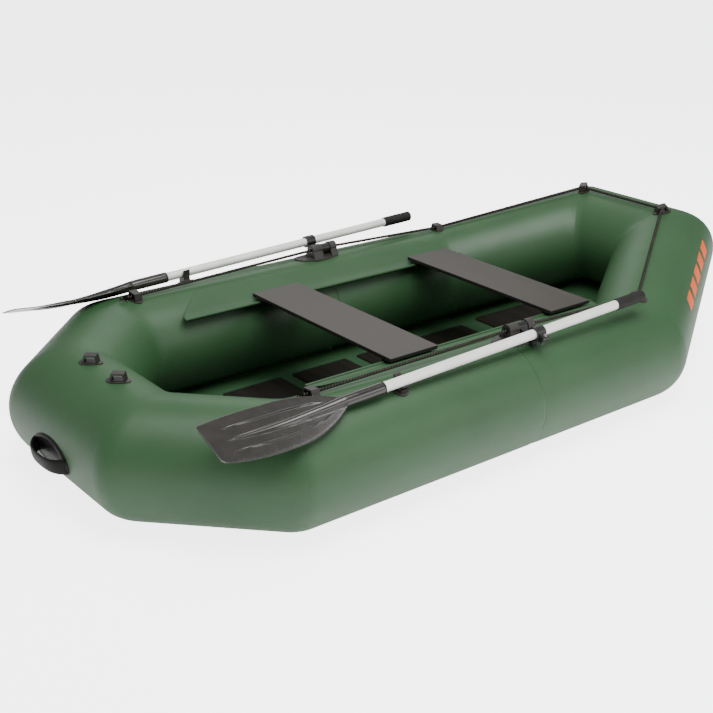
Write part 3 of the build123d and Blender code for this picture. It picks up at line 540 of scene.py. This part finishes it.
def oar_frame(side):
    """The oar's frame at its pivot: x along the shaft to the grip, z along the swing pin."""
    shaft = Vector((cos(OAR_RISE), 0, sin(OAR_RISE)))
    lean = Vector((0, side * sin(OAR_LEAN), cos(OAR_LEAN)))
    pin = (lean - shaft * lean.dot(shaft)).normalized()
    pivot = Vector((PIVOT[0], side * PIVOT[1], PIVOT[2]))
    axes = Matrix((shaft, pin.cross(shaft), pin)).transposed().to_4x4()
    return Matrix.Translation(pivot) @ axes


def arc_height(x, first, middle, last):
    """The height at x of the circle through three points, near the middle one."""
    (x1, y1), (x2, y2), (x3, y3) = first, middle, last
    d = 2 * (x1 * (y2 - y3) + x2 * (y3 - y1) + x3 * (y1 - y2))
    s1, s2, s3 = x1 * x1 + y1 * y1, x2 * x2 + y2 * y2, x3 * x3 + y3 * y3
    cx = (s1 * (y2 - y3) + s2 * (y3 - y1) + s3 * (y1 - y2)) / d
    cy = (s1 * (x3 - x2) + s2 * (x1 - x3) + s3 * (x2 - x1)) / d
    r = sqrt((x1 - cx) ** 2 + (y1 - cy) ** 2)
    root = sqrt(max(0.0, r * r - (x - cx) ** 2))
    return cy + root if y2 > cy else cy - root


def smooth(low, high, value):
    """0 below low, 1 above high, smooth between; low may be above high."""
    share = min(1.0, max(0.0, (value - low) / (high - low)))
    return share * share * (3 - 2 * share)


def blade_half_width(x):
    """Half the blade's width; the socket alone above the shoulder."""
    if x > SHOULDER:
        return spine_radius(x)
    width = arc_height(x, *(UPPER_EDGE if x > WIDEST else LOWER_EDGE))
    if x < BLADE_TIP + TIP_CORNER:
        width -= TIP_CORNER - sqrt(max(0.0, TIP_CORNER**2 - (BLADE_TIP + TIP_CORNER - x) ** 2))
    return max(width, spine_radius(x))


def blade_centre(x):
    """The height of the blade's middle surface above the shaft's axis."""
    if x > SHOULDER:
        return 0.0
    middle = (SHOULDER + BLADE_TIP) / 2
    return arc_height(x, (SHOULDER, 0.0), (middle, MID_RISE), (BLADE_TIP, TIP_RISE))


def spine_radius(x):
    """The radius of the tapering spine that carries the socket into the blade."""
    for (x1, r1), (x2, r2) in zip(SPINE, SPINE[1:]):
        if x >= x2:
            return r1 + (r2 - r1) * (x1 - x) / (x1 - x2)
    return 0.0


def blade_half_height(x, y):
    """Half the thickness of the blade at a place, with its spine, two long ribs and a fillet at the spine."""
    width = blade_half_width(x)
    plate = 0.0
    if x < SHOULDER + 0.004:
        edge = min(1.0, abs(y) / width)
        plate = BLADE_THICK / 2 * sqrt(max(0.0, 1 - edge**24)) * (1 - 0.3 * edge * edge)
    radius = spine_radius(x)
    spine = sqrt(max(0.0, radius**2 - y * y)) * (1 - 0.35 * smooth(-0.82, -1.0, x))
    ends = smooth(RIB_START, RIB_START - 0.09, x) * smooth(RIB_END, RIB_END + 0.14, x)
    rib = RIB_HEIGHT * ends * max(0.0, 1 - abs(abs(y) - RIB_SHARE * width) / RIB_HALF) ** 1.2
    ribbed = plate + rib
    if x > SHOULDER:
        return max(ribbed, spine)
    fillet = SPINE_FILLET**2 * smooth(0.0, 0.004, ribbed)
    return 0.5 * (ribbed + spine + sqrt((ribbed - spine) ** 2 + fillet))


def blade_samples():
    """Shares of the half width from 1 to -1, closer together at the edges and the ribs."""
    shares = []
    for k in range(EVEN_SAMPLES + 1):
        even = k / EVEN_SAMPLES
        share = 0.55 * cos(pi * even) + 0.45 * (1 - 2 * even)
        if abs(abs(share) - RIB_SHARE) > RIB_SAMPLES * RIB_SAMPLE_STEP + 0.002:
            shares.append(share)
    for k in range(-RIB_SAMPLES, RIB_SAMPLES + 1):
        near_rib = RIB_SHARE + RIB_SAMPLE_STEP * k
        shares += [near_rib, -near_rib]
    return sorted(shares, reverse=True)


def blade_piece(side_name, side):
    """The socket, spine, blade and ribs as one closed skin of rings along the oar."""
    place = oar_frame(side)
    across = blade_samples()
    size = 2 * (len(across) - 1)
    stations = [SOCKET_END - k * 0.008 for k in range(17)] + [SHOULDER + 0.002]
    stations += [SHOULDER - k * (SHOULDER - BLADE_TIP - 0.012) / 66 for k in range(67)]
    stations += [BLADE_TIP + d for d in (0.009, 0.006, 0.003, 0.001, 0.0)]
    vertices, faces = [], []
    for x in stations:
        width, centre = blade_half_width(x), blade_centre(x)
        top = [(y * width, centre + blade_half_height(x, y * width)) for y in across]
        low = [(y * width, centre - blade_half_height(x, y * width)) for y in across[-2:0:-1]]
        vertices += [place @ Vector((x, y, z)) for y, z in top + low]
    for row in range(len(stations) - 1):
        for k in range(size):
            a, b = row * size + k, row * size + (k + 1) % size
            faces.append((a, b, b + size, a + size))
    # The mouth of the socket turns in to meet the shaft.
    mouth = len(vertices)
    round_top = [(y * MOUTH_R, sqrt(max(0.0, 1 - y * y)) * MOUTH_R) for y in across]
    round_low = [(y, -z) for y, z in round_top[-2:0:-1]]
    for depth in (0.0, MOUTH_DEPTH):
        vertices += [place @ Vector((SOCKET_END - depth, y, z)) for y, z in round_top + round_low]
    for low, high in ((mouth, 0), (mouth + size, mouth)):
        for k in range(size):
            b = (k + 1) % size
            faces.append((low + k, low + b, high + b, high + k))
    faces.append(tuple(range((len(stations) - 1) * size, len(stations) * size)))
    piece = make_piece(f"Oar_blade_{side_name}", vertices, faces, [BLADE_PLASTIC], f"oar_{side_name}")
    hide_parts(f"oar_blade_{side_name}")


for blade_side, blade_sign in SIDES:
    blade_piece(blade_side, blade_sign)

# Lifeline -----------------------------------------------------------------------------------------------

STRANDS, STRAND_R, STRAND_LAY, ROPE_PITCH = 4, 0.0021, 0.0029, 0.021
KNOT_START, KNOT_END = (-0.7975, 0.4752, 0.3652), (-0.7845, 0.4744, 0.3655)
KNOT_CORD_R, KNOT_LAY, KNOT_PITCH = 0.0040, 0.0054, 0.0080
LIFELINE_HALF = (
    (-0.8110, 0.4794, 0.3640),
    (-0.7910, 0.4744, 0.3655),
    (-0.7570, 0.4749, 0.3650),
    (-0.7070, 0.4761, 0.3662),
    (-0.0880, 0.4908, 0.3815),
    (-0.0380, 0.4920, 0.3830),
    (0.0820, 0.4920, 0.3830),
    (0.1320, 0.4922, 0.3813),
    (0.5400, 0.4938, 0.3677),
    (0.5900, 0.4940, 0.3660),
    (0.6311, 0.4686, 0.3788),
    (1.0410, 0.2148, 0.5063),
    (1.0820, 0.1893, 0.5191),
    (1.0820, 0.1393, 0.5191),
)


def smooth_route(points):
    """The points of a smooth line that has the route's points as its control points."""
    curve = bpy.data.curves.new("Route", "CURVE")
    curve.dimensions = "3D"
    spline = curve.splines.new("NURBS")
    spline.points.add(len(points) - 1)
    for target, point in zip(spline.points, points):
        target.co = (*point, 1)
    spline.order_u = 3
    spline.use_endpoint_u = True
    spline.resolution_u = 24
    holder = bpy.data.objects.new("Route", curve)
    mesh = bpy.data.meshes.new_from_object(holder)
    line = [vertex.co.copy() for vertex in mesh.vertices]
    bpy.data.meshes.remove(mesh)
    bpy.data.objects.remove(holder)
    bpy.data.curves.remove(curve)
    return line


def resampled(line, spacing):
    """Points at even spacing along a line."""
    lengths = [0.0]
    for a, b in zip(line, line[1:]):
        lengths.append(lengths[-1] + (b - a).length)
    count = int(lengths[-1] / spacing)
    points, at = [], 0
    for step in range(count + 1):
        distance = lengths[-1] * step / count
        while at < len(line) - 2 and lengths[at + 1] < distance:
            at += 1
        gap = lengths[at + 1] - lengths[at]
        points.append(line[at].lerp(line[at + 1], (distance - lengths[at]) / gap if gap else 0.0))
    return points


def tube_mesh(vertices, faces, centres, radius, sides):
    """Adds a closed round tube along a row of centres to vertices and faces."""
    base = len(vertices)
    for k, centre in enumerate(centres):
        ahead = (centres[min(k + 1, len(centres) - 1)] - centres[max(k - 1, 0)]).normalized()
        across = ahead.cross(Vector((0.13, 0.21, 0.97))).normalized()
        up = across.cross(ahead)
        size = radius * (0.45 if k in (0, len(centres) - 1) else 1.0)
        for side in range(sides):
            angle = 2 * pi * side / sides
            vertices.append(centre + (across * cos(angle) + up * sin(angle)) * size)
    for row in range(len(centres) - 1):
        for side in range(sides):
            a, b = base + row * sides + side, base + row * sides + (side + 1) % sides
            faces.append((a, a + sides, b + sides, b))
    faces.append(tuple(base + side for side in range(sides)))
    last = base + (len(centres) - 1) * sides
    faces.append(tuple(last + side for side in range(sides - 1, -1, -1)))


def helix_about(points, lay, pitch, phase):
    """Centres that wind about a line at even steps."""
    centres = []
    travelled = 0.0
    for k, point in enumerate(points):
        ahead = (points[min(k + 1, len(points) - 1)] - points[max(k - 1, 0)]).normalized()
        across = ahead.cross(Vector((0, 0, 1))).normalized()
        up = across.cross(ahead)
        if k:
            travelled += (point - points[k - 1]).length
        angle = 2 * pi * travelled / pitch + phase
        centres.append(point + (across * cos(angle) + up * sin(angle)) * lay)
    return centres


def lifeline():
    """The twisted lifeline, with a barrel knot behind each aft holder."""
    points = [Vector(p) for p in LIFELINE_HALF]
    points += [Vector((x, -y, z)) for x, y, z in LIFELINE_HALF[::-1]]
    line = resampled(smooth_route(points), ROPE_PITCH / 13)
    vertices, faces, painted_highlight_faces = [], [], []
    for strand in range(STRANDS):
        first = len(faces)
        centres = helix_about(line, STRAND_LAY, ROPE_PITCH, 2 * pi * strand / STRANDS)
        tube_mesh(vertices, faces, centres, STRAND_R, 8)
        # Every other strand takes the paler colour: painted highlight on a black rope.
        if strand % 2:
            painted_highlight_faces += range(first, len(faces))
    for _, side in SIDES:
        start, end = (Vector((x, side * y, z)) for x, y, z in (KNOT_START, KNOT_END))
        core = [start.lerp(end, k / 60) for k in range(61)]
        tube_mesh(vertices, faces, helix_about(core, KNOT_LAY, KNOT_PITCH, 0.6), KNOT_CORD_R, 12)
    piece = make_piece("Lifeline", vertices, faces, [ROPE, ROPE_PAINTED_HIGHLIGHT], "hull")
    for index in painted_highlight_faces:
        piece.data.polygons[index].material_index = 1
    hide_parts("lifeline")


lifeline()

# Carry handles ------------------------------------------------------------------------------------------

HANDLE_DROP = radians(9.0)
BASE_LONG, BASE_WIDE, BASE_SIDES = 0.1065, 0.0535, 96
BASE_FACE = 0.0024
BASE_RINGS = (
    (0.3, BASE_FACE), (0.6, BASE_FACE), (0.74, 0.0026), (0.80, 0.0042), (0.84, 0.0050),
    (0.90, 0.0050), (0.94, 0.0036), (0.965, 0.0028), (0.99, 0.0022), (1.0, 0.0003),
)
HALF_GRIP = (
    (0.093, -0.004), (0.088, 0.006), (0.078, 0.018), (0.062, 0.0275), (0.042, 0.0335), (0.020, 0.0355),
)
GRIP_PATH = tuple((-a, height) for a, height in HALF_GRIP) + ((0.0, 0.036),) + HALF_GRIP[::-1]
GRIP_SIDES = 28


def carry_handle(name, x, centre_z):
    """A moulded oval base with a raised rim, and the broad crowned grip that arches over it."""
    end = 1 if x > 0 else -1
    out = Vector((end * cos(HANDLE_DROP), 0, -sin(HANDLE_DROP)))
    along = Vector((0, 1, 0))
    across = out.cross(along)
    foot = Vector((x, 0, centre_z)) + out * TUBE_R

    def place(a, b, height):
        """A point at a along the handle, b across it and height above the tube's skin."""
        return foot + along * a + across * b + out * (sqrt(TUBE_R**2 - b * b) - TUBE_R + height)

    vertices, faces = [], []
    for share, height in BASE_RINGS:
        for k in range(BASE_SIDES):
            angle = 2 * pi * k / BASE_SIDES
            vertices.append(place(BASE_LONG * share * cos(angle), BASE_WIDE * share * sin(angle), height))
    rim = (len(BASE_RINGS) - 1) * BASE_SIDES
    for row in range(0, rim, BASE_SIDES):
        for k in range(BASE_SIDES):
            a, b = row + k, row + (k + 1) % BASE_SIDES
            faces.append((a, a + BASE_SIDES, b + BASE_SIDES, b))
    middle = len(vertices)
    vertices.append(place(0, 0, BASE_FACE))
    faces += [(middle, k, (k + 1) % BASE_SIDES) for k in range(BASE_SIDES)]
    faces.append(tuple(rim + k for k in range(BASE_SIDES - 1, -1, -1)))

    base = len(vertices)
    for k, (a, height) in enumerate(GRIP_PATH):
        before, after = GRIP_PATH[max(k - 1, 0)], GRIP_PATH[min(k + 1, len(GRIP_PATH) - 1)]
        run = Vector((after[0] - before[0], after[1] - before[1])).normalized()
        side = Vector((-run.y, run.x))
        near_end = abs(a) / HALF_GRIP[0][0]
        half_width = 0.0205 + 0.005 * near_end**3
        half_thick = 0.0038 + 0.0014 * near_end**2
        for j in range(GRIP_SIDES):
            angle = 2 * pi * j / GRIP_SIDES
            c, d = cos(angle), sin(angle)
            b = half_width * (abs(c) ** 0.55) * (1 if c > 0 else -1)
            t = half_thick * (abs(d) ** 0.7) * (1 if d > 0 else -1)
            crown = 0.0022 * (1 - (b / half_width) ** 2)
            spot = Vector((a, height)) + side * (t + crown)
            vertices.append(foot + along * spot.x + across * b + out * spot.y)
    for row in range(len(GRIP_PATH) - 1):
        for j in range(GRIP_SIDES):
            a = base + row * GRIP_SIDES + j
            b = base + row * GRIP_SIDES + (j + 1) % GRIP_SIDES
            faces.append((a, b, b + GRIP_SIDES, a + GRIP_SIDES))
    faces.append(tuple(base + j for j in range(GRIP_SIDES - 1, -1, -1)))
    last = base + (len(GRIP_PATH) - 1) * GRIP_SIDES
    faces.append(tuple(last + j for j in range(GRIP_SIDES)))
    piece = make_piece(name, vertices, faces, [HANDLE_PLASTIC], "hull")
    finer = piece.modifiers.new("Finer", "SUBSURF")
    finer.levels = finer.render_levels = 1
    return piece


stern_handle = carry_handle("Stern_handle", STERN_X, TUBE_R)
carry_handle("Bow_handle", BOW_X, BOW_Z)
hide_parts("carry_handles")

# Soft edges on the moulded CAD pieces --------------------------------------------------------------------

SOFT_EDGES = (
    (0.0016, aft_and_fore("rope_holders") + ["rope_holders_stern", "rope_holders_bow"]),
    (0.0014, both("rowlock_base")),
    (0.0010, both("rowlock_swivel", "oar_collar", "oar_clip")),
    (0.0008, aft_and_fore("seat_tracks")),
)


def soften_edges():
    """Rounds the sharp edges of the moulded CAD pieces."""
    for width, names in SOFT_EDGES:
        for name in names:
            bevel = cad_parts[name].modifiers.new("SoftEdges", "BEVEL")
            bevel.width = width
            bevel.segments = 3
            bevel.limit_method = "ANGLE"
            bevel.angle_limit = radians(32)
            bevel.harden_normals = False


soften_edges()

# Stage --------------------------------------------------------------------------------------------------


FLOOR_HALF = 40.0
FLOOR_GLOW, FLOOR_SEEN = 0.75, 3.8
SKY_GLOW, SKY_SEEN = 0.34, 4.3
LIGHTS = (
    ("Key", (-0.4, -1.1, 4.3), (0, 0, 0.2), (3.6, 3.0), 275),
    ("Side", (2.2, -4.6, 2.2), (0, 0, 0.2), (3.0, 2.0), 62),
    ("Back", (2.5, 3.5, 3.0), (0, 0, 0.3), (3.0, 1.5), 30),
)


def make_floor():
    """A plain pale floor, brighter as a backdrop than as a light on the boat."""
    m = Nodes("Floor")
    tone = m.ramp(m.noise(1.5, 2.0), (0.3, (0.9, 0.9, 0.9)), (0.7, (0.92, 0.92, 0.92)))
    material = m.set(Base_Color=tone, Roughness=0.6, Specular_IOR_Level=0.2)
    seen = m.add("ShaderNodeLightPath").outputs["Is Camera Ray"]
    m.set(Emission_Color=(1, 1, 1, 1), Emission_Strength=m.remap(seen, FLOOR_GLOW, FLOOR_SEEN))
    mesh = bpy.data.meshes.new("Floor")
    corners = [(a * FLOOR_HALF, b * FLOOR_HALF, 0) for a, b in ((-1, -1), (1, -1), (1, 1), (-1, 1))]
    mesh.from_pydata(corners, [], [(0, 1, 2, 3)])
    mesh.materials.append(material)
    floor = bpy.data.objects.new("Floor", mesh)
    bpy.context.collection.objects.link(floor)


def add_light(name, place, aim, size, power):
    """A soft area light at place, turned towards aim."""
    light = bpy.data.lights.new(name, "AREA")
    light.shape = "RECTANGLE"
    light.size, light.size_y = size
    light.energy = power
    lamp = bpy.data.objects.new(name, light)
    lamp.location = place
    lamp.rotation_euler = (Vector(aim) - Vector(place)).to_track_quat("-Z", "Y").to_euler()
    bpy.context.collection.objects.link(lamp)


def make_world():
    """A plain white surround, brighter as a backdrop than as a light on the boat."""
    world = bpy.data.worlds.new("World")
    bpy.context.scene.world = world
    world.use_nodes = True
    nodes, links = world.node_tree.nodes, world.node_tree.links
    nodes["Background"].inputs["Color"].default_value = (1, 1, 1, 1)
    strength = nodes.new("ShaderNodeMapRange")
    strength.inputs["To Min"].default_value = SKY_GLOW
    strength.inputs["To Max"].default_value = SKY_SEEN
    links.new(nodes.new("ShaderNodeLightPath").outputs["Is Camera Ray"], strength.inputs["Value"])
    links.new(strength.outputs[0], nodes["Background"].inputs["Strength"])


make_floor()
for light_facts in LIGHTS:
    add_light(*light_facts)
make_world()
